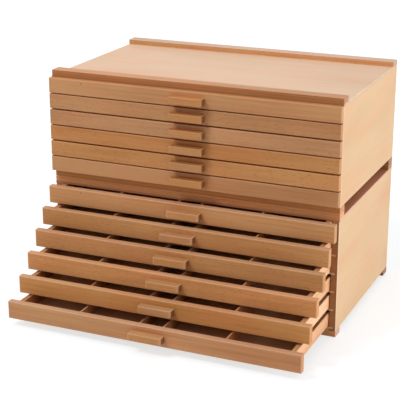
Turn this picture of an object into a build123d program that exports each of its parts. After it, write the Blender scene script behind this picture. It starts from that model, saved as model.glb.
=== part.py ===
from build123d import *
import os

# Stack of two wooden drawer boxes for pastels, six drawers in each.
# X runs across the width, -Y is the drawer side and +Z is up.
# The origin is the centre of the underside of the lower box's front foot bar.
# All sizes are in millimetres.

# Case, shared by both boxes
case_width = 400.0
case_depth = 243.0
side_thickness = 9.0
top_thickness = 3.0
bottom_thickness = 3.0
back_thickness = 4.0
foot_height = 8.0
lip_height = 7.0
bar_depth = 18.0
bar_arris = 0.8

# Drawers
drawer_count = 6
lower_pitch = 24.6
upper_pitch = 21.3
front_thickness = 9.0
front_arris = 1.2
front_raise = 1.0
front_gap = 1.2
front_clearance = 0.4
tray_side_thickness = 6.5
tray_bottom_thickness = 3.0
divider_thickness = 2.0
middle_compartment = 30.0
tray_side_clearance = 1.5
tray_rear_clearance = 4.0
tray_headroom = 0.8

# How far each lower drawer stands open, from the top drawer down
lower_pull_outs = (10.0, 30.0, 50.0, 72.0, 95.0, 124.0)
upper_pull_outs = (0.0,) * drawer_count

# Runner strips under the trays, let into the sides
runner_thickness = 2.4
runner_let_in = 5.0
runner_reach = 7.0
runner_clearance = 0.3

# Pulls
pull_length = 46.0
pull_height = 10.0
pull_depth = 11.5
pull_drop = 0.6
pull_corner = 2.2
pull_arris = 1.2

# Places worked out from the sizes above
case_front = -bar_depth / 2
case_back = case_front + case_depth
half_width = case_width / 2
inner_half_width = half_width - side_thickness
tray_half_width = inner_half_width - tray_side_clearance
tray_inner_half_width = tray_half_width - tray_side_thickness
front_back_face = case_front - front_clearance
tray_rear = case_back - back_thickness - tray_rear_clearance


def board(x_range, y_range, z_range):
    """A rectangular board between three pairs of limits."""
    with BuildPart() as piece:
        with BuildSketch(Plane.XY.offset(z_range[0])):
            with Locations((sum(x_range) / 2, sum(y_range) / 2)):
                Rectangle(x_range[1] - x_range[0], y_range[1] - y_range[0])
        extrude(amount=z_range[1] - z_range[0])
    return piece


def save(part, label):
    """Names a finished piece and writes it to its own file."""
    part.label = label
    export_step(part, f"parts/{label}.step")


def save_group(pieces, label):
    """Names a set of separate solids and writes them to one file."""
    save(Compound(children=[piece.part for piece in pieces]), label)


def foot_bar(y_front, z_base):
    """A bar under the case, across its full width."""
    return board((-half_width, half_width), (y_front, y_front + bar_depth), (z_base, z_base + foot_height))


def rim_bar(y_front, z_base):
    """A bar on the top panel, across its full width, with its upper long edges eased."""
    blank = board((-half_width, half_width), (y_front, y_front + bar_depth), (z_base, z_base + lip_height))
    with BuildPart() as bar:
        add(blank.part)
        fillet(bar.faces().sort_by(Axis.Z)[-1].edges().filter_by(Axis.X), radius=bar_arris)
    return bar


def runner_range(z_base, pitch, slot):
    """Lower and upper height of the runner in a slot, counted from the bottom slot, 0."""
    underside = z_base + slot * pitch + bottom_thickness
    return (underside, underside + runner_thickness)


def side_panel(hand, z_base, pitch):
    """One side of the case, with a groove on its inner face for each runner. hand is -1 left, 1 right."""
    inner_face = hand * inner_half_width
    x_range = sorted((inner_face, hand * half_width))
    blank = board(x_range, (case_front, case_back), (z_base, z_base + drawer_count * pitch))
    groove_middle = (inner_face + hand * runner_let_in / 2, (case_front + case_back - back_thickness) / 2)
    with BuildPart() as side:
        add(blank.part)
        for slot in range(drawer_count):
            with BuildSketch(Plane.XY.offset(runner_range(z_base, pitch, slot)[0])):
                with Locations(groove_middle):
                    Rectangle(runner_let_in, case_depth - back_thickness)
            extrude(amount=runner_thickness, mode=Mode.SUBTRACT)
    return side


def runner_strips(hand, z_base, pitch):
    """The runner strips of one side, as separate solids. hand is -1 left, 1 right."""
    inner_face = hand * inner_half_width
    x_range = sorted((inner_face - hand * runner_reach, inner_face + hand * runner_let_in))
    y_range = (case_front, case_back - back_thickness)
    return [board(x_range, y_range, runner_range(z_base, pitch, slot)) for slot in range(drawer_count)]


def make_case(name, z_floor, pitch):
    """Every fixed piece of one box standing at z_floor. Gives the height of its top."""
    z_base = z_floor + foot_height
    z_top = z_base + drawer_count * pitch
    z_rim = z_top + top_thickness
    full_width = (-half_width, half_width)
    inner_width = (-inner_half_width, inner_half_width)
    rear_bar_front = case_back - bar_depth

    front_foot = foot_bar(case_front, z_floor)
    save(front_foot.part, f"{name}_front_foot")
    rear_foot = foot_bar(rear_bar_front, z_floor)
    save(rear_foot.part, f"{name}_rear_foot")

    side_left = side_panel(-1, z_base, pitch)
    save(side_left.part, f"{name}_side_left")
    side_right = side_panel(1, z_base, pitch)
    save(side_right.part, f"{name}_side_right")

    bottom_length = (case_front, case_back - back_thickness)
    bottom_panel = board(inner_width, bottom_length, (z_base, z_base + bottom_thickness))
    save(bottom_panel.part, f"{name}_bottom_panel")
    back_panel = board(inner_width, (case_back - back_thickness, case_back), (z_base, z_top))
    save(back_panel.part, f"{name}_back_panel")
    top_panel = board(full_width, (case_front, case_back), (z_top, z_rim))
    save(top_panel.part, f"{name}_top_panel")

    front_lip = rim_bar(case_front, z_rim)
    save(front_lip.part, f"{name}_front_lip")
    rear_ledge = rim_bar(rear_bar_front, z_rim)
    save(rear_ledge.part, f"{name}_rear_ledge")

    save_group(runner_strips(-1, z_base, pitch), f"{name}_runners_left")
    save_group(runner_strips(1, z_base, pitch), f"{name}_runners_right")
    return z_rim + lip_height


def drawer_front(back_face, z_range):
    """The board across a drawer, with all edges of its outer face rounded."""
    blank = board((-half_width, half_width), (back_face - front_thickness, back_face), z_range)
    with BuildPart() as front:
        add(blank.part)
        fillet(front.faces().sort_by(Axis.Y)[0].edges(), radius=front_arris)
    return front


def drawer_pull(back_face, z_middle):
    """A short block to hold, with its outer corners cut off and its outer long edges eased."""
    blank = board(
        (-pull_length / 2, pull_length / 2),
        (back_face - pull_depth, back_face),
        (z_middle - pull_height / 2, z_middle + pull_height / 2),
    )
    with BuildPart() as pull:
        add(blank.part)
        chamfer(pull.faces().sort_by(Axis.Y)[0].edges().filter_by(Axis.Z), length=pull_corner)
        fillet(pull.faces().sort_by(Axis.Y)[0].edges().filter_by(Axis.X), radius=pull_arris)
    return pull


def drawer_tray(y_front, y_rear, z_range):
    """Sides, back, bottom and dividers behind a drawer's front, as separate solids."""
    inner_width = (-tray_inner_half_width, tray_inner_half_width)
    inner_length = (y_front, y_rear - tray_side_thickness)
    floor_top = z_range[0] + tray_bottom_thickness
    pieces = [
        board((-tray_half_width, -tray_inner_half_width), (y_front, y_rear), z_range),
        board((tray_inner_half_width, tray_half_width), (y_front, y_rear), z_range),
        board(inner_width, (inner_length[1], y_rear), z_range),
        board(inner_width, inner_length, (z_range[0], floor_top)),
    ]
    inner_divider = (middle_compartment + divider_thickness) / 2
    outer_divider = (inner_divider + divider_thickness / 2 + tray_inner_half_width) / 2
    for x_middle in (-outer_divider, -inner_divider, inner_divider, outer_divider):
        x_range = (x_middle - divider_thickness / 2, x_middle + divider_thickness / 2)
        pieces.append(board(x_range, inner_length, (floor_top, z_range[1])))
    return pieces


def make_drawers(name, z_floor, pitch, pull_outs):
    """Every drawer of one box, numbered from the top, each standing open by its own amount."""
    z_top = z_floor + foot_height + drawer_count * pitch
    for number, pull_out in enumerate(pull_outs, start=1):
        slot_top = z_top - (number - 1) * pitch
        slot_bottom = slot_top - pitch
        front_range = (slot_bottom + front_raise + front_gap, slot_top + front_raise)
        back_face = front_back_face - pull_out

        front = drawer_front(back_face, front_range)
        save(front.part, f"{name}_drawer_{number}_front")

        pull = drawer_pull(back_face - front_thickness, sum(front_range) / 2 - pull_drop)
        save(pull.part, f"{name}_drawer_{number}_pull")

        tray_underside = slot_bottom + bottom_thickness + runner_thickness + runner_clearance
        tray_range = (tray_underside, slot_top - tray_headroom)
        save_group(drawer_tray(back_face, tray_rear - pull_out, tray_range), f"{name}_drawer_{number}_tray")


os.makedirs("parts", exist_ok=True)
lower_top = make_case("lower", 0.0, lower_pitch)
make_drawers("lower", 0.0, lower_pitch, lower_pull_outs)
upper_top = make_case("upper", lower_top, upper_pitch)
make_drawers("upper", lower_top, upper_pitch, upper_pull_outs)
print(f"Height of the stack: {upper_top:.1f} mm")
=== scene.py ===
"""Stack of two beech drawer boxes for pastels, modelled and finished around its CAD frame.

Every board of the boxes is made again here with eased edges and its own cut of wood. The sizes
and places come from the frame, and the panel in the 3D view's sidebar makes each group anew.
"""

import math
import random

import bpy
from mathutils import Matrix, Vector


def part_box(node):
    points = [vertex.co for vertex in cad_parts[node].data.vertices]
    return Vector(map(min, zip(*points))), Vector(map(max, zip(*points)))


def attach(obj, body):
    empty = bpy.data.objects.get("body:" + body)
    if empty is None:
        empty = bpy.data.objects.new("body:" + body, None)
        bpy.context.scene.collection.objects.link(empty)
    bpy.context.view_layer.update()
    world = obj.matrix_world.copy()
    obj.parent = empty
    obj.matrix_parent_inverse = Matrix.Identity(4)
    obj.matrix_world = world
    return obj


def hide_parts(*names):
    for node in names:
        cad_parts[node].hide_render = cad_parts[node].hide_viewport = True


bl_info = {
    "name": "Pastel Drawer Boxes",
    "version": (1, 0, 0),
    "blender": (4, 5, 0),
    "location": "View3D > Sidebar > Pastel Boxes",
    "description": "Builds two stacked wooden drawer boxes and a plain studio around them",
    "category": "Add Mesh",
}

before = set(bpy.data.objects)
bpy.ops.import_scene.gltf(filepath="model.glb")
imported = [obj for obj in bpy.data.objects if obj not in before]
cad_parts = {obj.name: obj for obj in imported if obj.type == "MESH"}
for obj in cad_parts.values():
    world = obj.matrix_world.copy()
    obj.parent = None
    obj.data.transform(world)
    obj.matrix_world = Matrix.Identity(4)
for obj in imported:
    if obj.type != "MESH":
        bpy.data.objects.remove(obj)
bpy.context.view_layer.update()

MM = 0.001
# Coordinates closer than this lie at the same place.
TOUCH = 0.01 * MM
BOXES = ("lower", "upper")
DRAWERS = range(1, 7)

ACROSS, DEEP, UPRIGHT = range(3)
AXES = {ACROSS: (1.0, 0.0, 0.0), DEEP: (0.0, 1.0, 0.0), UPRIGHT: (0.0, 0.0, 1.0)}
# How a board's place is turned so that its grain runs along the log, and what that is called.
GRAIN_TURNS = {ACROSS: (0.0, 0.0, 0.0), DEEP: (0.0, 0.0, math.radians(-90))}
GRAIN_NAMES = {ACROSS: "across", DEEP: "deep"}

# Faces that round an edge of a case board, of a bar or a pull, and of a drawer's front.
BOARD_STEPS, BAR_STEPS, FRONT_STEPS = 2, 3, 5
# How far the tools that cut the runner grooves stand out of the wood.
OVERCUT = 2 * MM
# A face whose normal has no part larger than this belongs to an eased edge.
FLAT = 0.99

# The log, in metres: how far along it a board may come from, how far from the pith at its
# nearest and furthest, and how far to the side.
LOG_REACH = 3.0
PITH_NEAR, PITH_FAR = 0.05, 0.11
LOG_SIDEWAYS = 0.04
# Depth and strength of colour that a board may have when none is given for it.
ANY_DEPTH = (0.95, 1.04)
ANY_STRENGTH = (0.98, 1.04)

# Marks in the wood: how long they are along the grain and how wide across it, in millimetres.
STREAK = (76.92, 2.0833)
# Real fibres are hundredths of a millimetre wide. They are drawn coarser so that they show.
FIBRE = (25.0, 0.45455)
CLOUD = (200.0, 58.824)
BLUSH = (111.11, 33.333)
# Cells of the ray flecks, each fleck at most two thirds as long as its cell. Real ones are 1 to
# 3 mm long and are drawn longer so that they show.
FLECK = (9.0909, 1.25)
# The rings are drawn in metres and wander ten times as slowly along the grain.
RING_UNIT = (10000.0, 1000.0)
# The scale at which a wave texture has its rings one metre apart.
METRE_RINGS = 0.314

# What a rosy patch, and the painted shade inside a tray, take from the colour below them.
ROSY = (1.03, 0.93, 0.92)
INNER_SHADE = (0.38, 0.27, 0.18)
# A painted highlight along an eased edge is a part of the wood's light ground, with this added.
HIGHLIGHT_SHARE = 0.6
HIGHLIGHT_CREAM = (0.46, 0.42, 0.34)
# A ray fleck has this part of the wood's dark colour.
FLECK_SHARE = 0.62
# Middle and half size of the two dark pin knots in the fronts, in millimetres.
PIN_KNOTS = (
    ((-151.7, -18.0, 298.3), (2.2, 20.0, 0.9)),
    ((-152.0, -28.0, 152.5), (1.8, 20.0, 0.8)),
)
KNOT_COLOUR = "#5A3218"

# The furthest from the middle that a tray's inner faces may be. Its sides are thicker than 3.5 mm.
TRAY_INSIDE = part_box("upper_drawer_1_tray")[1].x - 3.5 * MM

# The top faces are painted darker: painted shade on the fronts' tops and in the seams between
# them.
FRONT_FINISH = {
    "ring_strength": 0.12,
    "streak_strength": 0.95,
    "cloud_strength": 1.6,
    "edge_highlight": 0.06,
    "fleck_strength": 0.5,
    "tints": ((ACROSS, (1.25, 1.25, 1.25)), (UPRIGHT, (0.92, 0.78, 0.62))),
    "pin_knots": PIN_KNOTS,
}
# The top faces are painted darker, as painted shade from the pull above; the end grain is darker.
PULL_FINISH = {
    "ring_strength": 0.15,
    "edge_highlight": 0.06,
    "tints": ((ACROSS, (0.42, 0.34, 0.26)), (UPRIGHT, (0.84, 0.7, 0.6))),
}
# Each wood has the first word of its two colours, and what sets it off from plain planed wood.
# tints multiply the colour of the faces square to an axis: faces that drink more or less of the
# finish, such as end grain, the layered edges of plywood and the sawn sides of a bar, and faces
# with painted shade or painted light, as said at each wood.
WOODS = {
    # Solid beech, planed and oiled: a warm brown with fine dark dashes and a satin sheen.
    "beech_front": ("front", FRONT_FINISH),
    "beech_pull": ("pull", PULL_FINISH),
    # The same for the lower box, with a stronger painted highlight along the eased edges and
    # painted light on the top faces.
    "beech_front_worn": (
        "front",
        {
            **FRONT_FINISH,
            "edge_highlight": 0.22,
            "tints": ((ACROSS, (1.25, 1.25, 1.25)), (UPRIGHT, (1.03, 1.2, 1.6))),
        },
    ),
    # The lower box's pulls: a stronger painted highlight along the eased edges, and painted light
    # on their tops.
    "beech_pull_worn": (
        "pull",
        {
            **PULL_FINISH,
            "edge_highlight": 0.2,
            "tints": ((ACROSS, (0.42, 0.34, 0.26)), (UPRIGHT, (0.9, 0.95, 1.1))),
        },
    ),
    # Solid beech with the year rings on its faces: long brown lines, darker on the sawn sides.
    # That darkening is partly painted shade, on bars that stand under the fronts, in the slot and
    # at the back.
    "beech_lip": (
        "lip",
        {
            "ring_strength": 0.4,
            "streak_strength": 1.2,
            "edge_highlight": 0.04,
            "tints": ((DEEP, (0.74, 0.6, 0.44)),),
        },
    ),
    "beech_ledge": (
        "ledge",
        {
            "ring_strength": 0.3,
            "streak_strength": 1.0,
            "tints": ((DEEP, (0.95, 0.73, 0.46)),),
        },
    ),
    # Board faced with beech, sanded fine: pale and even, with hardly any figure, and dark core
    # edges that are partly painted shade. Its eased edges carry a strong painted highlight.
    "beech_panel": (
        "side",
        {
            "ring_spacing": 9.0,
            "ring_strength": 0.08,
            "streak_strength": 0.4,
            "fleck_strength": 0.12,
            "edge_highlight": 0.9,
            "tints": ((DEEP, (0.4, 0.28, 0.2)),),
        },
    ),
    # The upper box's top: a painted highlight along its eased ends, and its front and rear edges
    # dark, partly as painted shade under the lip.
    "beech_top": (
        "top",
        {
            "ring_spacing": 9.0,
            "ring_strength": 0.1,
            "streak_strength": 0.5,
            "fleck_strength": 0.1,
            "edge_highlight": 0.6,
            "tints": ((DEEP, (0.5, 0.36, 0.25)),),
        },
    ),
    # Redder, darker beech of the top that the upper box stands over: painted shade, since it is
    # seen only in the slot between the boxes, with a painted highlight on its pale ends and eased
    # edges.
    "beech_under": (
        "under",
        {
            "ring_strength": 0.3,
            "edge_highlight": 0.8,
            "tints": ((DEEP, (0.6, 0.5, 0.4)), (ACROSS, (1.2, 1.35, 1.5))),
        },
    ),
    # Peeled veneer, unsanded: wide, faint rings and a dull face.
    "thin_plywood": ("ply", {"ring_spacing": 7.0, "ring_strength": 0.18, "roughness": 0.6}),
    # Planed strip of plain wood, left bare.
    "pale_strip": ("strip", {"roughness": 0.55}),
    # Bare planed wood, matt. Its faces square to the width are painted lighter, a painted light
    # that makes it pale outside, and painted shade darkens them where they look into a tray.
    "tray_wood": (
        "tray",
        {
            "roughness": 0.55,
            "edge_highlight": 0.1,
            "tints": ((UPRIGHT, (0.8, 0.67, 0.53)), (ACROSS, (1.5, 1.55, 1.6))),
            "shaded_within": TRAY_INSIDE,
        },
    ),
}
FRONT_WOODS = {"upper": "beech_front", "lower": "beech_front_worn"}
PULL_WOODS = {"upper": "beech_pull", "lower": "beech_pull_worn"}

# Depth and strength of colour of each drawer's front, from the top drawer down.
FRONT_TONES = {
    "upper": ((1.0, 1.0), (0.95, 1.0), (1.0, 0.97), (1.02, 1.06), (1.0, 1.06), (0.94, 1.0)),
    "lower": ((1.04, 1.02), (1.01, 1.05), (0.96, 1.05), (1.13, 1.05), (1.05, 1.08), (1.06, 0.98)),
}
# The bars of darker beech, with the depth and strength of their colour. The rear feet and ledges
# are among them as painted shade, for they stand in shadow between and behind the boxes, and the
# lower rear foot's low depth is painted shade too.
BAR_TONES_AND_SHADE = {
    "lower_front_lip": (1.5, 1.0),
    "lower_rear_foot": (0.65, 1.0),
    "lower_rear_ledge": (0.9, 1.0),
    "upper_rear_foot": (0.9, 1.0),
    "upper_front_foot": (1.22, 1.06),
    "upper_front_lip": (1.04, 1.02),
}
# Fronts cut a little short at the bottom, so that the seam below them is wider.
SEAM_OPENERS = ("upper_drawer_2_front", "upper_drawer_4_front")

FLOOR_SIZE = 16.0
# Brightness of the room as it lights the boxes, and of the white backdrop that the lens sees.
ROOM_LIGHT, BACKDROP_LIGHT = 0.36, 1.0
SENSOR_WIDTH = 36.0
# Name, place, point it is aimed at, width and energy of each lamp.
LAMPS = (
    ("front_softbox", (-0.8, -1.0, 1.75), (0.0, 0.0, 0.12), 0.6, 17.5),
    ("right_softbox", (1.5, -0.05, 0.16), (0.15, 0.1, 0.12), 0.8, 11.8),
    ("top_softbox", (0.0, 0.4, 2.2), (0.0, 0.1, 0.2), 1.2, 10.5),
)

# Sockets of a Mix node that blends colours.
MIX_AMOUNT, MIX_BELOW, MIX_ABOVE, MIX_RESULT = 0, 6, 7, 2


def to_linear(hex_code):
    """An sRGB hex colour as linear red, green and blue."""
    channels = [int(hex_code[place : place + 2], 16) / 255 for place in (1, 3, 5)]
    return tuple(
        value / 12.92 if value <= 0.04045 else ((value + 0.055) / 1.055) ** 2.4
        for value in channels
    )


def length(name, description, millimetres):
    """A length property, kept in metres and shown in the scene's units."""
    return bpy.props.FloatProperty(
        name=name,
        description=description,
        default=millimetres * MM,
        min=0.0,
        precision=4,
        subtype="DISTANCE",
        unit="LENGTH",
    )


def colour(name, description, hex_code):
    """A colour property from an sRGB hex value."""
    return bpy.props.FloatVectorProperty(
        name=name,
        description=description,
        default=to_linear(hex_code),
        min=0.0,
        max=1.0,
        size=3,
        subtype="COLOR",
    )


class PastelBoxSizes(bpy.types.PropertyGroup):
    """Sizes that a user would change. The outer sizes of each board come from the frame."""

    board_arris: length("Board Arris", "Easing of the case boards' edges", 0.4)
    side_arris: length("Side Arris", "Easing of the sides' and tops' outer edges", 1.0)
    bar_arris: length("Bar Arris", "Easing of the feet's, lips' and ledges' edges", 0.8)
    front_rounding: length("Front Rounding", "Radius round a drawer front's outer face", 1.2)
    wide_seam: length("Wide Seam", "What the widest seams have more than the others", 0.5)
    tray_arris: length("Tray Arris", "Easing of the tray boards' edges", 0.4)
    pull_corner: length("Pull Corner", "Width of the cut on a pull's outer ends", 2.2)
    pull_rounding: length("Pull Rounding", "Radius along a pull's long outer edges", 1.2)
    pull_end_arris: length("Pull End Arris", "Easing of a pull's upright edges", 0.6)
    pull_back_arris: length("Pull Back Arris", "Easing of a pull's edges on the front", 0.2)
    groove_depth: length("Groove Depth", "How far a runner is let into the side", 5.0)
    tray_side: length("Tray Side", "Thickness of a tray's sides and back", 6.5)
    tray_bottom: length("Tray Bottom", "Thickness of a tray's bottom", 3.0)
    divider: length("Divider", "Thickness of the dividers in a tray", 2.0)
    middle_compartment: length("Middle Compartment", "Clear width of the middle compartment", 30.0)
    camera_distance: length("Camera Distance", "From the camera to the point it looks at", 1689.6)
    camera_lens: bpy.props.FloatProperty(
        name="Camera Lens",
        description="Focal length on a sensor 36 mm wide",
        default=108.4,
        min=1.0,
        unit="CAMERA",
    )
    camera_turn: bpy.props.FloatProperty(
        name="Camera Turn",
        description="How far to the right of the front the camera stands",
        default=math.radians(23.6),
        subtype="ANGLE",
    )
    camera_rise: bpy.props.FloatProperty(
        name="Camera Rise",
        description="How far above the level the camera stands",
        default=math.radians(18.6),
        subtype="ANGLE",
    )
    camera_target: bpy.props.FloatVectorProperty(
        name="Camera Target",
        description="The point the camera looks at",
        default=(-0.0405, 0.1123, 0.1145),
        size=3,
        subtype="TRANSLATION",
        unit="LENGTH",
    )


class PastelBoxColours(bpy.types.PropertyGroup):
    """Colours of the woods, light ground and dark streaks, and of the studio."""

    front_light: colour("Front Light", "Light ground of the drawer fronts", "#CE9766")
    front_dark: colour("Front Dark", "Dark streaks of the drawer fronts", "#A96D3F")
    pull_light: colour("Pull Light", "Light ground of the pulls", "#C8915C")
    pull_dark: colour("Pull Dark", "Dark streaks of the pulls", "#A86C3A")
    lip_light: colour("Lip Light", "Light ground of the darker bars", "#CE9A70")
    lip_dark: colour("Lip Dark", "Dark streaks of the darker bars", "#B07C50")
    ledge_light: colour("Ledge Light", "Light ground of the paler bars", "#E2BEA4")
    ledge_dark: colour("Ledge Dark", "Dark streaks of the paler bars", "#C8A082")
    side_light: colour("Side Light", "Light ground of the sides", "#F4CEA3")
    side_dark: colour("Side Dark", "Dark streaks of the sides", "#E6B989")
    top_light: colour("Top Light", "Light ground of the upper box's top", "#ECC9AA")
    top_dark: colour("Top Dark", "Dark streaks of the upper box's top", "#DCAE88")
    # The lower box's top is painted darker and redder: painted shade, as it is seen only in the
    # slot.
    under_light: colour("Under Light", "Light ground of the lower box's top", "#E8AC88")
    under_dark: colour("Under Dark", "Dark streaks of the lower box's top", "#CC8E68")
    ply_light: colour("Plywood Light", "Light ground of the backs and bottoms", "#D9B48C")
    ply_dark: colour("Plywood Dark", "Dark streaks of the backs and bottoms", "#BE9367")
    strip_light: colour("Strip Light", "Light ground of the runners", "#E3BE95")
    strip_dark: colour("Strip Dark", "Dark streaks of the runners", "#C99F73")
    tray_light: colour("Tray Light", "Light ground of the trays", "#DDB189")
    tray_dark: colour("Tray Dark", "Dark streaks of the trays", "#BE8B60")
    floor: colour("Floor", "The studio's floor, as it lights the boxes", "#E7E7E4")
    floor_seen: colour("Floor Seen", "The studio's floor, as the lens sees it lit", "#AAAFB4")
    paper: colour("Paper", "The glow of the floor and the backdrop for the lens", "#FFFFFE")


def add_node(tree, kind, settings=None, inputs=None, **named):
    """Adds a node, sets its properties, and gives each input a value or a link to a socket.

    inputs go by number, and named ones by their name, with underscores for its spaces.
    """
    made = tree.nodes.new(kind)
    for name, value in (settings or {}).items():
        setattr(made, name, value)
    by_name = {name.replace("_", " "): value for name, value in named.items()}
    for name, value in {**(inputs or {}), **by_name}.items():
        if isinstance(value, bpy.types.NodeSocket):
            tree.links.new(value, made.inputs[name])
        else:
            made.inputs[name].default_value = value
    return made


def marks_in_log(tree, log, kind, size, settings=None, **named):
    """A texture stretched to marks of a size, given in millimetres along and across the grain."""
    along, across = (1 / (span * MM) for span in size)
    stretched = add_node(tree, "ShaderNodeMapping", Vector=log, Scale=(along, across, across))
    return add_node(tree, kind, settings, Vector=stretched.outputs["Vector"], **named)


def lay_over(tree, below, layers):
    """Lays colours over a socket's colour, one after the other, and gives the last socket.

    Each layer is how much of it shows, its colour and how it is blended in.
    """
    for amount, above, blend in layers:
        mixed = add_node(
            tree,
            "ShaderNodeMix",
            {"data_type": "RGBA", "blend_type": blend},
            {MIX_AMOUNT: amount, MIX_BELOW: below, MIX_ABOVE: (*above, 1.0)},
        )
        below = mixed.outputs[MIX_RESULT]
    return below


def square_to(tree, place, axis):
    """A socket that is 1 on the faces square to an axis, and 0 on the others."""
    facing = add_node(
        tree,
        "ShaderNodeVectorMath",
        {"operation": "DOT_PRODUCT"},
        {0: place.outputs["Normal"], 1: AXES[axis]},
    )
    either_way = add_node(
        tree, "ShaderNodeMath", {"operation": "ABSOLUTE"}, {0: facing.outputs["Value"]}
    )
    mask = add_node(
        tree,
        "ShaderNodeMapRange",
        {"interpolation_type": "SMOOTHSTEP"},
        Value=either_way.outputs[0],
        From_Min=0.8,
        From_Max=0.95,
    )
    return mask.outputs[0]


def looking_into_tray(tree, place, half_width):
    """A socket that is 1 on faces square to the width and nearer the middle than half_width."""
    where = add_node(tree, "ShaderNodeSeparateXYZ", inputs={0: place.outputs["Object"]})
    from_middle = add_node(
        tree, "ShaderNodeMath", {"operation": "ABSOLUTE"}, {0: where.outputs["X"]}
    )
    within = add_node(
        tree,
        "ShaderNodeMath",
        {"operation": "LESS_THAN"},
        {0: from_middle.outputs[0], 1: half_width},
    )
    both = add_node(
        tree,
        "ShaderNodeMath",
        {"operation": "MULTIPLY"},
        {0: within.outputs[0], 1: square_to(tree, place, ACROSS)},
    )
    return both.outputs[0]


def within_knot(tree, place, middle, half_size):
    """A socket that rises to 0.8 in the middle of a knot. Its place is in millimetres."""
    apart = add_node(
        tree,
        "ShaderNodeVectorMath",
        {"operation": "SUBTRACT"},
        {0: place.outputs["Object"], 1: [span * MM for span in middle]},
    )
    squeezed = add_node(
        tree,
        "ShaderNodeVectorMath",
        {"operation": "MULTIPLY"},
        {0: apart.outputs["Vector"], 1: [1 / (span * MM) for span in half_size]},
    )
    reach = add_node(
        tree, "ShaderNodeVectorMath", {"operation": "LENGTH"}, {0: squeezed.outputs["Vector"]}
    )
    mask = add_node(
        tree,
        "ShaderNodeMapRange",
        {"interpolation_type": "SMOOTHSTEP"},
        Value=reach.outputs["Value"],
        From_Min=0.4,
        From_Max=1.0,
        To_Min=0.8,
        To_Max=0.0,
    )
    return mask.outputs[0]


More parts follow.
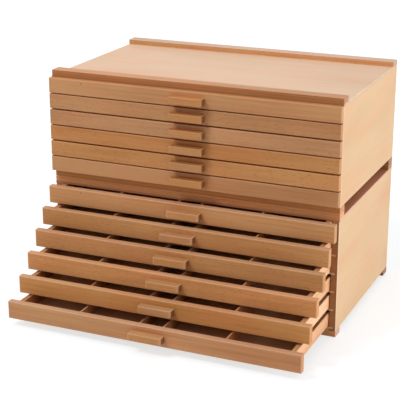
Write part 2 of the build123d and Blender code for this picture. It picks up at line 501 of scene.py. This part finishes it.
def make_wood(
    name,
    light,
    dark,
    grain,
    ring_spacing=3.2,
    ring_strength=0.35,
    streak_strength=0.7,
    cloud_strength=1.3,
    fleck_strength=0.35,
    edge_highlight=0.18,
    roughness=0.52,
    tints=(),
    pin_knots=(),
    shaded_within=None,
):
    """Planed wood cut from a log whose pith runs along grain. ring_spacing is in millimetres."""
    material = bpy.data.materials.new(name)
    material.use_nodes = True
    tree = material.node_tree
    tree.nodes.clear()

    # Each board's own shift puts it somewhere else in the log.
    place = add_node(tree, "ShaderNodeTexCoord")
    shift = add_node(tree, "ShaderNodeAttribute", {"attribute_name": "board_shift"})
    shifted = add_node(
        tree,
        "ShaderNodeVectorMath",
        {"operation": "ADD"},
        {0: place.outputs["Object"], 1: shift.outputs["Vector"]},
    )
    turned = add_node(
        tree, "ShaderNodeMapping", Vector=shifted.outputs["Vector"], Rotation=GRAIN_TURNS[grain]
    )
    log = turned.outputs["Vector"]

    # Year rings round the pith; seen along the board they are long, faint, wandering lines.
    rings = marks_in_log(
        tree,
        log,
        "ShaderNodeTexWave",
        RING_UNIT,
        {"wave_type": "RINGS", "rings_direction": "X", "wave_profile": "SIN"},
        Scale=METRE_RINGS / (ring_spacing * MM),
        Distortion=9.0,
        Detail=2.0,
        Detail_Scale=0.16,
        Detail_Roughness=0.55,
    )
    # Bundles of fibres, seen as fine streaks, and the single fibres that roughen the sheen.
    streaks = marks_in_log(
        tree, log, "ShaderNodeTexNoise", STREAK, Scale=1.0, Detail=4.0, Roughness=0.6
    )
    fibre = marks_in_log(
        tree, log, "ShaderNodeTexNoise", FIBRE, Scale=1.0, Detail=2.0, Roughness=0.6
    )
    # Wide clouds of lighter and darker wood.
    clouds = marks_in_log(
        tree, log, "ShaderNodeTexNoise", CLOUD, Scale=1.0, Detail=2.0, Roughness=0.5
    )
    # Rings, streaks and clouds darken the ground together, the last two round their middles.
    streak_middle, cloud_middle = 0.5, 0.42
    darkness = -streak_middle * streak_strength - cloud_middle * cloud_strength
    for marks, strength in (
        (rings, ring_strength),
        (streaks, streak_strength),
        (clouds, cloud_strength),
    ):
        sum_so_far = add_node(
            tree,
            "ShaderNodeMath",
            {"operation": "MULTIPLY_ADD"},
            {0: marks.outputs["Fac"], 1: strength, 2: darkness},
        )
        darkness = sum_so_far.outputs[0]
    ground = add_node(
        tree,
        "ShaderNodeMix",
        {"data_type": "RGBA", "clamp_factor": True},
        {MIX_AMOUNT: darkness, MIX_BELOW: (*light, 1.0), MIX_ABOVE: (*dark, 1.0)},
    )

    blush = marks_in_log(
        tree, log, "ShaderNodeTexNoise", BLUSH, Scale=1.0, Detail=1.0, Roughness=0.5
    )
    rosy = add_node(
        tree,
        "ShaderNodeMapRange",
        {"interpolation_type": "SMOOTHSTEP"},
        Value=blush.outputs["Fac"],
        From_Min=0.42,
        From_Max=0.66,
        To_Min=0.0,
        To_Max=0.7,
    )
    # Ray flecks: short dark dashes, in some of the texture's cells only.
    cells = marks_in_log(
        tree,
        log,
        "ShaderNodeTexVoronoi",
        FLECK,
        {"feature": "F1", "distance": "EUCLIDEAN"},
        Scale=1.0,
        Randomness=1.0,
    )
    dashes = add_node(
        tree,
        "ShaderNodeMapRange",
        {"interpolation_type": "SMOOTHSTEP"},
        Value=cells.outputs["Distance"],
        From_Min=0.12,
        From_Max=0.34,
        To_Min=1.0,
        To_Max=0.0,
    )
    chosen = add_node(
        tree, "ShaderNodeMath", {"operation": "GREATER_THAN"}, {0: cells.outputs["Color"], 1: 0.62}
    )
    flecks = add_node(
        tree,
        "ShaderNodeMath",
        {"operation": "MULTIPLY"},
        {0: dashes.outputs[0], 1: chosen.outputs[0]},
    )
    seen_flecks = add_node(
        tree,
        "ShaderNodeMath",
        {"operation": "MULTIPLY"},
        {0: flecks.outputs[0], 1: fleck_strength},
    )

    layers = [
        (rosy.outputs[0], ROSY, "MULTIPLY"),
        (seen_flecks.outputs[0], [value * FLECK_SHARE for value in dark], "MIX"),
    ]
    # Tints, some of them painted shade or painted light, and painted shade inside a tray.
    for axis, tint in tints:
        layers.append((square_to(tree, place, axis), tint, "MULTIPLY"))
    if shaded_within is not None:
        tray_shade = looking_into_tray(tree, place, shaded_within)
        layers.append((tray_shade, INNER_SHADE, "MULTIPLY"))
    figured = lay_over(tree, ground.outputs[MIX_RESULT], layers)

    # Each board has its own depth and strength of colour.
    own = add_node(tree, "ShaderNodeAttribute", {"attribute_name": "board_tone"})
    tone = add_node(tree, "ShaderNodeSeparateXYZ", inputs={0: own.outputs["Vector"]})
    toned = add_node(
        tree,
        "ShaderNodeHueSaturation",
        Color=figured,
        Value=tone.outputs["X"],
        Saturation=tone.outputs["Y"],
    )

    # Painted highlight: the faces of eased edges are painted a little lighter than the flat faces.
    eased = add_node(tree, "ShaderNodeAttribute", {"attribute_name": "eased"})
    edge = add_node(
        tree,
        "ShaderNodeMath",
        {"operation": "MULTIPLY"},
        {0: eased.outputs["Fac"], 1: edge_highlight},
    )
    pale = [value * HIGHLIGHT_SHARE + cream for value, cream in zip(light, HIGHLIGHT_CREAM)]
    layers = [(edge.outputs[0], pale, "MIX")]
    for middle, half_size in pin_knots:
        knot = within_knot(tree, place, middle, half_size)
        layers.append((knot, to_linear(KNOT_COLOUR), "MIX"))
    finished = lay_over(tree, toned.outputs["Color"], layers)

    sheen = add_node(
        tree,
        "ShaderNodeMapRange",
        Value=fibre.outputs["Fac"],
        From_Min=0.3,
        From_Max=0.7,
        To_Min=roughness - 0.06,
        To_Max=roughness + 0.08,
    )
    # Fibres stand proud a little and flecks lie a little deeper.
    fibres_proud = add_node(
        tree,
        "ShaderNodeMath",
        {"operation": "MULTIPLY_ADD"},
        {0: fibre.outputs["Fac"], 1: 0.5, 2: streaks.outputs["Fac"]},
    )
    relief = add_node(
        tree,
        "ShaderNodeMath",
        {"operation": "MULTIPLY_ADD"},
        {0: flecks.outputs[0], 1: -0.6, 2: fibres_proud.outputs[0]},
    )
    bump = add_node(
        tree, "ShaderNodeBump", Height=relief.outputs[0], Strength=0.5, Distance=0.05 * MM
    )
    wood = add_node(
        tree,
        "ShaderNodeBsdfPrincipled",
        Base_Color=finished,
        Roughness=sheen.outputs[0],
        Normal=bump.outputs["Normal"],
        IOR=1.5,
        Specular_IOR_Level=0.3,
    )
    add_node(tree, "ShaderNodeOutputMaterial", Surface=wood.outputs["BSDF"])
    return material


def wood_of(kind, grain):
    """The material of one kind of board, made the first time it is asked for."""
    name = f"{kind}_{GRAIN_NAMES[grain]}"
    if name in bpy.data.materials:
        return bpy.data.materials[name]
    stem, finish = WOODS[kind]
    colours = bpy.context.scene.pastel_box_colours
    light = tuple(getattr(colours, f"{stem}_light"))
    dark = tuple(getattr(colours, f"{stem}_dark"))
    return make_wood(name, light, dark, grain, **finish)


def seen_rays(tree):
    """A socket that is 1 for what the lens, a reflection or a clear piece shows, 0 for light."""
    ray = add_node(tree, "ShaderNodeLightPath")
    seen = ray.outputs["Is Camera Ray"]
    for name in ("Is Glossy Ray", "Is Transmission Ray"):
        either = add_node(
            tree, "ShaderNodeMath", {"operation": "MAXIMUM"}, {0: seen, 1: ray.outputs[name]}
        )
        seen = either.outputs[0]
    return seen


def all_at(level, *values):
    """Whether all these coordinates lie at a level."""
    return all(abs(value - level) < TOUCH for value in values)


def start_board(low, high):
    """Adds a sharp-edged board between two corners and leaves it active."""
    low, high = Vector(low), Vector(high)
    bpy.ops.object.select_all(action="DESELECT")
    bpy.ops.mesh.primitive_cube_add(size=1.0, location=(low + high) / 2)
    made = bpy.context.object
    made.scale = high - low
    bpy.ops.object.transform_apply(location=True, rotation=True, scale=True)
    return made


def soften(piece, width_at, steps):
    """Rounds the edges of a piece. width_at gives an edge's width from its two ends."""
    mesh = piece.data
    widths = [width_at(*(mesh.vertices[end].co for end in edge.vertices)) for edge in mesh.edges]
    widest = max(widths)
    weights = mesh.attributes.new("bevel_weight_edge", "FLOAT", "EDGE")
    weights.data.foreach_set("value", [width / widest for width in widths])
    # Edges that stay sharp are marked, so that smooth shading doesn't run round them.
    sharp = mesh.attributes.new("sharp_edge", "BOOLEAN", "EDGE")
    sharp.data.foreach_set("value", [width == 0.0 for width in widths])
    bpy.ops.object.shade_smooth()
    easing = piece.modifiers.new("easing", "BEVEL")
    easing.limit_method = "WEIGHT"
    easing.width = widest
    easing.segments = steps
    easing.harden_normals = True
    bpy.ops.object.modifier_apply(modifier=easing.name)
    eased = [float(max(map(abs, face.normal)) < FLAT) for face in piece.data.polygons]
    marks = piece.data.attributes.new("eased", "FLOAT", "FACE")
    marks.data.foreach_set("value", eased)


def cut_from_log(piece, kind, grain, dice, tone=None):
    """Gives a board its wood and a cut of its own from the log, flat sawn or nearly so.

    tone is the depth and the strength of its colour, and is drawn by the dice if left out.
    """
    mesh = piece.data
    corners = [vertex.co for vertex in mesh.vertices]
    low = Vector([min(corner[axis] for corner in corners) for axis in range(3)])
    high = Vector([max(corner[axis] for corner in corners) for axis in range(3)])
    spans = high - low
    cross = [axis for axis in range(3) if axis != grain]
    thin = min(cross, key=lambda axis: spans[axis])
    wide = next(axis for axis in cross if axis != thin)
    place = Vector((0.0, 0.0, 0.0))
    place[grain] = dice.uniform(-LOG_REACH, LOG_REACH)
    place[thin] = dice.choice((-1, 1)) * dice.uniform(PITH_NEAR, PITH_FAR)
    place[wide] = dice.uniform(-LOG_SIDEWAYS, LOG_SIDEWAYS)
    if tone is None:
        tone = (dice.uniform(*ANY_DEPTH), dice.uniform(*ANY_STRENGTH))
    for name, value in (
        ("board_shift", place - (low + high) / 2),
        ("board_tone", (*tone, 0.0)),
    ):
        attribute = mesh.attributes.new(name, "FLOAT_VECTOR", "POINT")
        attribute.data.foreach_set("vector", list(value) * len(mesh.vertices))
    mesh.materials.append(wood_of(kind, grain))


def board(low, high, arris, kind, grain, dice):
    """A finished board between two corners with all edges eased by the same width."""
    made = start_board(low, high)
    soften(made, lambda start, end: arris, BOARD_STEPS)
    cut_from_log(made, kind, grain, dice)
    return made


def join(pieces):
    """Joins finished boards into one object and leaves it active."""
    bpy.ops.object.select_all(action="DESELECT")
    for piece in pieces:
        piece.select_set(True)
    bpy.context.view_layer.objects.active = pieces[0]
    bpy.ops.object.join()
    return pieces[0]


def hand_over(piece, name, node, body):
    """Names a finished piece and puts it in its CAD node's place."""
    piece.name = name
    piece.data.name = name
    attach(piece, body)
    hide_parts(node)


def runner_levels(box, hand):
    """The underside and the top of each runner on one side of a box, from the lowest up."""
    side_low, side_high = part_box(f"{box}_side_{hand}")
    low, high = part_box(f"{box}_runners_{hand}")
    pitch = (side_high.z - side_low.z) / len(DRAWERS)
    thickness = high.z - low.z - pitch * (len(DRAWERS) - 1)
    undersides = [low.z + slot * pitch for slot in range(len(DRAWERS))]
    return [(underside, underside + thickness) for underside in undersides]


class PASTELBOX_OT_sides(bpy.types.Operator):
    """Make the four side panels, grooved for the runners"""

    bl_idname = "pastelbox.sides"
    bl_label = "Side Panels"

    def execute(self, context):
        sizes = context.scene.pastel_box_sizes
        dice = random.Random(11)
        for box in BOXES:
            for hand, inward in (("left", 1), ("right", -1)):
                node = f"{box}_side_{hand}"
                low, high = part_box(node)
                side = start_board(low, high)
                outer, inner = (low.x, high.x) if inward > 0 else (high.x, low.x)
                runner_low, runner_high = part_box(f"{box}_runners_{hand}")
                groove_bottom = inner - inward * sizes.groove_depth
                near, far = sorted((groove_bottom, inner + inward * OVERCUT))
                cutter = join(
                    [
                        start_board(
                            (near, runner_low.y - OVERCUT, underside),
                            (far, runner_high.y, top),
                        )
                        for underside, top in runner_levels(box, hand)
                    ]
                )
                bpy.ops.object.select_all(action="DESELECT")
                side.select_set(True)
                context.view_layer.objects.active = side
                grooves = side.modifiers.new("grooves", "BOOLEAN")
                grooves.operation = "DIFFERENCE"
                grooves.solver = "EXACT"
                grooves.object = cutter
                bpy.ops.object.modifier_apply(modifier=grooves.name)
                bpy.data.objects.remove(cutter)

                # The edges round the outer face are eased, but not where the top is glued on.
                def width_at(start, end):
                    on_outer = all_at(outer, start.x, end.x)
                    under_top = all_at(high.z, start.z, end.z)
                    return sizes.side_arris if on_outer and not under_top else 0.0

                soften(side, width_at, BOARD_STEPS)
                cut_from_log(side, "beech_panel", DEEP, dice)
                hand_over(side, f"{box}_box_side_{hand}", node, f"{box}_case")
        return {"FINISHED"}


class PASTELBOX_OT_panels(bpy.types.Operator):
    """Make the tops, bottoms and backs"""

    bl_idname = "pastelbox.panels"
    bl_label = "Top, Bottom and Back Panels"

    def execute(self, context):
        sizes = context.scene.pastel_box_sizes
        dice = random.Random(23)
        top_woods = {"lower": "beech_under", "upper": "beech_top"}
        for box in BOXES:
            node = f"{box}_top_panel"
            low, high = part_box(node)
            top = start_board(low, high)

            # A top is glued in flush all round, so only its ends are eased, on the outside.
            def width_at(start, end):
                at_end = all_at(high.z, start.z, end.z) and all_at(start.x, end.x)
                return sizes.side_arris if at_end else 0.0

            soften(top, width_at, BOARD_STEPS)
            cut_from_log(top, top_woods[box], ACROSS, dice)
            hand_over(top, f"{box}_box_top", node, f"{box}_case")

            for part in ("bottom", "back"):
                node = f"{box}_{part}_panel"
                low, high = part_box(node)
                panel = board(low, high, sizes.board_arris, "thin_plywood", ACROSS, dice)
                hand_over(panel, f"{box}_box_{part}", node, f"{box}_case")
        return {"FINISHED"}


class PASTELBOX_OT_bars(bpy.types.Operator):
    """Make the feet, the front lips and the rear ledges"""

    bl_idname = "pastelbox.bars"
    bl_label = "Feet, Lips and Ledges"

    def execute(self, context):
        sizes = context.scene.pastel_box_sizes
        dice = random.Random(37)
        for box in BOXES:
            for part in ("front_foot", "rear_foot", "front_lip", "rear_ledge"):
                node = f"{box}_{part}"
                low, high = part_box(node)
                bar = start_board(low, high)
                glued = high.z if part.endswith("foot") else low.z

                def width_at(start, end):
                    return 0.0 if all_at(glued, start.z, end.z) else sizes.bar_arris

                soften(bar, width_at, BAR_STEPS)
                kind = "beech_lip" if node in BAR_TONES_AND_SHADE else "beech_ledge"
                cut_from_log(bar, kind, ACROSS, dice, BAR_TONES_AND_SHADE.get(node))
                hand_over(bar, f"{box}_box_{part}", node, f"{box}_case")
        return {"FINISHED"}


class PASTELBOX_OT_runners(bpy.types.Operator):
    """Make the runner strips that the trays slide on"""

    bl_idname = "pastelbox.runners"
    bl_label = "Runners"

    def execute(self, context):
        arris = context.scene.pastel_box_sizes.board_arris
        dice = random.Random(41)
        for box in BOXES:
            for hand in ("left", "right"):
                node = f"{box}_runners_{hand}"
                low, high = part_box(node)
                strips = []
                for underside, top in runner_levels(box, hand):
                    start, end = (low.x, low.y, underside), (high.x, high.y, top)
                    strips.append(board(start, end, arris, "pale_strip", DEEP, dice))
                name = f"{box}_box_runners_{hand}"
                hand_over(join(strips), name, node, f"{box}_case")
        return {"FINISHED"}


class PASTELBOX_OT_fronts(bpy.types.Operator):
    """Make the drawer fronts, rounded all round their outer faces"""

    bl_idname = "pastelbox.fronts"
    bl_label = "Drawer Fronts"

    def execute(self, context):
        sizes = context.scene.pastel_box_sizes
        dice = random.Random(59)
        for box in BOXES:
            for number in DRAWERS:
                node = f"{box}_drawer_{number}_front"
                low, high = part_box(node)
                low.z += sizes.wide_seam if node in SEAM_OPENERS else 0.0
                front = start_board(low, high)

                def width_at(start, end):
                    on_outer = all_at(low.y, start.y, end.y)
                    return sizes.front_rounding if on_outer else sizes.board_arris

                soften(front, width_at, FRONT_STEPS)
                tone = FRONT_TONES[box][number - 1]
                cut_from_log(front, FRONT_WOODS[box], ACROSS, dice, tone)
                body = f"{box}_drawer_{number}"
                hand_over(front, f"{box}_front_{number}", node, body)
        return {"FINISHED"}


class PASTELBOX_OT_pulls(bpy.types.Operator):
    """Make the block pulls with their cut corners"""

    bl_idname = "pastelbox.pulls"
    bl_label = "Pulls"

    def execute(self, context):
        sizes = context.scene.pastel_box_sizes
        dice = random.Random(67)
        for box in BOXES:
            for number in DRAWERS:
                node = f"{box}_drawer_{number}_pull"
                low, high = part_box(node)
                pull = start_board(low, high)

                # The two outer upright edges are cut off flat first, then all edges are eased.
                mesh = pull.data
                weights = mesh.attributes.new("bevel_weight_edge", "FLOAT", "EDGE")
                for edge in mesh.edges:
                    start, end = (mesh.vertices[place].co for place in edge.vertices)
                    corner = all_at(low.y, start.y, end.y) and not all_at(start.z, end.z)
                    weights.data[edge.index].value = float(corner)
                corners = pull.modifiers.new("corners", "BEVEL")
                corners.limit_method = "WEIGHT"
                corners.width = sizes.pull_corner
                corners.segments = 1
                bpy.ops.object.modifier_apply(modifier=corners.name)
                pull.data.attributes.remove(pull.data.attributes["bevel_weight_edge"])

                def width_at(start, end):
                    if all_at(high.y, start.y, end.y):
                        return sizes.pull_back_arris
                    level = all_at(start.z, end.z)
                    return sizes.pull_rounding if level else sizes.pull_end_arris

                soften(pull, width_at, BAR_STEPS)
                cut_from_log(pull, PULL_WOODS[box], ACROSS, dice)
                body = f"{box}_drawer_{number}"
                hand_over(pull, f"{box}_pull_{number}", node, body)
        return {"FINISHED"}


class PASTELBOX_OT_trays(bpy.types.Operator):
    """Make the trays: sides, back, bottom and the dividers between the compartments"""

    bl_idname = "pastelbox.trays"
    bl_label = "Trays"

    def execute(self, context):
        sizes = context.scene.pastel_box_sizes
        dice = random.Random(73)
        for box in BOXES:
            for number in DRAWERS:
                node = f"{box}_drawer_{number}_tray"
                low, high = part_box(node)
                inner = high.x - sizes.tray_side
                rear = high.y - sizes.tray_side
                floor_top = low.z + sizes.tray_bottom
                boards = [
                    (low, (-inner, high.y, high.z), "tray_wood", DEEP),
                    ((inner, low.y, low.z), high, "tray_wood", DEEP),
                    ((-inner, rear, low.z), (inner, high.y, high.z), "tray_wood", ACROSS),
                    ((-inner, low.y, low.z), (inner, rear, floor_top), "thin_plywood", ACROSS),
                ]
                half_divider = sizes.divider / 2
                near = sizes.middle_compartment / 2 + half_divider
                far = (near + half_divider + inner) / 2
                for middle in (-far, -near, near, far):
                    start = (middle - half_divider, low.y, floor_top)
                    end = (middle + half_divider, rear, high.z)
                    boards.append((start, end, "tray_wood", DEEP))
                tray = join(
                    [
                        board(start, end, sizes.tray_arris, kind, grain, dice)
                        for start, end, kind, grain in boards
                    ]
                )
                body = f"{box}_drawer_{number}"
                hand_over(tray, f"{box}_tray_{number}", node, body)
        return {"FINISHED"}


def lay_floor(colours):
    """Lays the paper floor, white to the lens but for the shadows on it."""
    bpy.ops.object.select_all(action="DESELECT")
    bpy.ops.mesh.primitive_plane_add(size=FLOOR_SIZE, location=(0.0, 0.0, 0.0))
    floor = bpy.context.object
    floor.name = "studio_floor"
    paper = bpy.data.materials.new("white_paper_floor")
    paper.use_nodes = True
    tree = paper.node_tree
    tree.nodes.clear()
    lit = add_node(tree, "ShaderNodeBsdfDiffuse", Color=(*colours.floor, 1.0))
    # The lens and reflections see paper that is brighter than its light makes it, so the
    # background is white and only the shadows of the boxes show on it.
    place = add_node(tree, "ShaderNodeTexCoord")
    reach = add_node(
        tree, "ShaderNodeVectorMath", {"operation": "LENGTH"}, {0: place.outputs["Object"]}
    )
    # Further away, where the lamps give out, the paper glows more.
    fade = add_node(
        tree,
        "ShaderNodeMapRange",
        {"interpolation_type": "SMOOTHSTEP"},
        Value=reach.outputs["Value"],
        From_Min=0.2,
        From_Max=1.6,
        To_Min=0.7,
        To_Max=0.85,
    )
    glow = add_node(
        tree, "ShaderNodeEmission", Strength=fade.outputs[0], Color=(*colours.paper, 1.0)
    )
    dim = add_node(tree, "ShaderNodeBsdfDiffuse", Color=(*colours.floor_seen, 1.0))
    shown = add_node(
        tree, "ShaderNodeAddShader", inputs={0: dim.outputs["BSDF"], 1: glow.outputs["Emission"]}
    )
    chosen = add_node(
        tree,
        "ShaderNodeMixShader",
        inputs={0: seen_rays(tree), 1: lit.outputs["BSDF"], 2: shown.outputs["Shader"]},
    )
    add_node(tree, "ShaderNodeOutputMaterial", Surface=chosen.outputs["Shader"])
    floor.data.materials.append(paper)


def hang_lamps():
    """Hangs the soft lamps, each turned to the point it is aimed at."""
    for name, place, aim, width, energy in LAMPS:
        bpy.ops.object.light_add(type="AREA", location=place)
        lamp = bpy.context.object
        lamp.name = name
        lamp.data.shape = "SQUARE"
        lamp.data.size = width
        lamp.data.energy = energy
        direction = Vector(aim) - Vector(place)
        lamp.rotation_euler = direction.to_track_quat("-Z", "Y").to_euler()


def light_room(colours):
    """Sets a dim, even room light, behind which the lens sees a white backdrop."""
    world = bpy.data.worlds.new("studio_world")
    bpy.context.scene.world = world
    world.use_nodes = True
    tree = world.node_tree
    tree.nodes.clear()
    white = (1.0, 1.0, 1.0, 1.0)
    room = add_node(tree, "ShaderNodeBackground", Color=white, Strength=ROOM_LIGHT)
    backdrop = add_node(
        tree, "ShaderNodeBackground", Color=(*colours.paper, 1.0), Strength=BACKDROP_LIGHT
    )
    chosen = add_node(
        tree,
        "ShaderNodeMixShader",
        inputs={
            0: seen_rays(tree),
            1: room.outputs["Background"],
            2: backdrop.outputs["Background"],
        },
    )
    add_node(tree, "ShaderNodeOutputWorld", Surface=chosen.outputs["Shader"])


def place_camera(sizes):
    """Places the camera to the right of the front and above it, and makes it the scene's."""
    turn, rise = sizes.camera_turn, sizes.camera_rise
    back = Vector(
        (
            math.sin(turn) * math.cos(rise),
            -math.cos(turn) * math.cos(rise),
            math.sin(rise),
        )
    )
    place = Vector(sizes.camera_target) + back * sizes.camera_distance
    facing = (-back).to_track_quat("-Z", "Y").to_euler()
    bpy.ops.object.camera_add(location=place, rotation=facing)
    camera = bpy.context.object
    camera.name = "product_camera"
    camera.data.sensor_width = SENSOR_WIDTH
    camera.data.lens = sizes.camera_lens
    bpy.context.scene.camera = camera


class PASTELBOX_OT_stage(bpy.types.Operator):
    """Set up the floor, the lamps, the room light and the camera"""

    bl_idname = "pastelbox.stage"
    bl_label = "Studio"

    def execute(self, context):
        lay_floor(context.scene.pastel_box_colours)
        hang_lamps()
        light_room(context.scene.pastel_box_colours)
        place_camera(context.scene.pastel_box_sizes)
        context.scene.view_settings.view_transform = "Standard"
        return {"FINISHED"}


class PASTELBOX_PT_panel(bpy.types.Panel):
    """Lists the groups of the pastel boxes"""

    bl_label = "Pastel Boxes"
    bl_idname = "PASTELBOX_PT_panel"
    bl_space_type = "VIEW_3D"
    bl_region_type = "UI"
    bl_category = "Pastel Boxes"

    def draw(self, context):
        for group in (context.scene.pastel_box_sizes, context.scene.pastel_box_colours):
            column = self.layout.column(align=True)
            for name in group.__annotations__:
                column.prop(group, name)
        for step in STEPS:
            self.layout.operator(step.bl_idname)


STEPS = (
    PASTELBOX_OT_sides,
    PASTELBOX_OT_panels,
    PASTELBOX_OT_bars,
    PASTELBOX_OT_runners,
    PASTELBOX_OT_fronts,
    PASTELBOX_OT_pulls,
    PASTELBOX_OT_trays,
    PASTELBOX_OT_stage,
)
CLASSES = (PastelBoxSizes, PastelBoxColours, *STEPS, PASTELBOX_PT_panel)


def register():
    for cls in CLASSES:
        bpy.utils.register_class(cls)
    bpy.types.Scene.pastel_box_sizes = bpy.props.PointerProperty(type=PastelBoxSizes)
    bpy.types.Scene.pastel_box_colours = bpy.props.PointerProperty(type=PastelBoxColours)


def unregister():
    del bpy.types.Scene.pastel_box_colours
    del bpy.types.Scene.pastel_box_sizes
    for cls in reversed(CLASSES):
        bpy.utils.unregister_class(cls)


def main():
    """Builds everything in order."""
    register()
    for step in STEPS:
        group, name = step.bl_idname.split(".")
        getattr(getattr(bpy.ops, group), name)()


if __name__ == "__main__":
    main()
